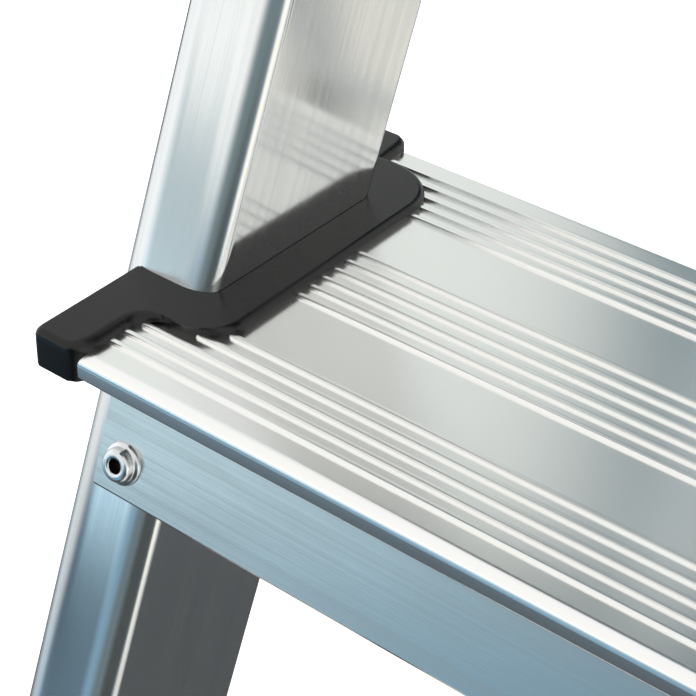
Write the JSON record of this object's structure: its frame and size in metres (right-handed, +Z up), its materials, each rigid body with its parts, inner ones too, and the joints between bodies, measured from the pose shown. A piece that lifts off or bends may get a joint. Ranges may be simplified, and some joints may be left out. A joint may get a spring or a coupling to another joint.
{
  "type": "step ladder",
  "caption": "Single-sided folding aluminium step ladder with ribbed treads, black tread end caps, a hinged platform, a hand rail with a tool tray and a braced rear frame.",
  "frame": {"origin": "on the floor, under the middle of the open ladder's box", "axes": "+X to the climber's right, +Y from the climber towards the rear frame, +Z up"},
  "size_m": [0.477, 0.8126, 1.546],
  "materials": {
    "stile_aluminium": "mill-finish extrusion with fine lengthwise die lines",
    "ribbed_aluminium": "mill-finish ribbed extrusion",
    "bracket_aluminium": "pressed and tumbled plate",
    "rivet_aluminium": "bright rivet",
    "zinc_steel": "bright zinc plate",
    "cap_plastic": "black moulded polypropylene, fine eroded texture",
    "foot_plastic": "black moulded soft plastic",
    "tray_plastic": "black moulded polypropylene",
    "nylon": "natural nylon"
  },
  "bodies": {
    "front_frame": {"stile_left": "stile_aluminium", "stile_right": "stile_aluminium", "tread_1": "ribbed_aluminium", "tread_2": "ribbed_aluminium", "tread_3": "ribbed_aluminium", "tread_cap_left_1": "cap_plastic", "tread_cap_left_2": "cap_plastic", "tread_cap_left_3": "cap_plastic", "tread_cap_right_1": "cap_plastic", "tread_cap_right_2": "cap_plastic", "tread_cap_right_3": "cap_plastic", "tread_rivets": "rivet_aluminium", "front_foot_left": "foot_plastic", "front_foot_right": "foot_plastic", "front_foot_rivets": "rivet_aluminium", "hinge_bracket_left": "bracket_aluminium", "hinge_bracket_right": "bracket_aluminium", "bracket_rivets": "rivet_aluminium", "rear_hinge_bolts": "zinc_steel", "rear_hinge_nuts": "zinc_steel", "platform_bolts": "zinc_steel", "platform_nuts": "zinc_steel", "tool_tray": "tray_plastic", "tray_screws": "zinc_steel"},
    "rear_frame": {"rear_stile_left": "stile_aluminium", "rear_stile_right": "stile_aluminium", "rear_bar_top": "stile_aluminium", "rear_bar_middle": "stile_aluminium", "rear_bar_bottom": "stile_aluminium", "rear_bar_screws": "zinc_steel", "rear_brace_left": "stile_aluminium", "rear_brace_right": "stile_aluminium", "brace_rivets": "rivet_aluminium", "rear_foot_left": "foot_plastic", "rear_foot_right": "foot_plastic", "rear_foot_rivets": "rivet_aluminium", "rear_hinge_bushes": "nylon", "rear_stile_plugs": "cap_plastic"},
    "platform": {"platform_deck": "ribbed_aluminium", "platform_side_left": "bracket_aluminium", "platform_side_right": "bracket_aluminium", "platform_bushes": "nylon", "platform_screws": "zinc_steel"}
  },
  "joints": [
    {"name": "rear_fold", "type": "hinge", "parent": "front_frame", "child": "rear_frame", "pos_m": [0, 0.04098, 0.935], "axis": [-1, 0, 0], "range_deg": [0, 39]},
    {"name": "platform_tilt", "type": "hinge", "parent": "front_frame", "child": "platform", "pos_m": [0, -0.05477, 0.918], "axis": [1, 0, 0], "range_deg": [0, 70.25]}
  ],
  "couplings": [
    {"joint": "platform_tilt", "follows": "rear_fold", "ratio": 1.8}
  ]
}
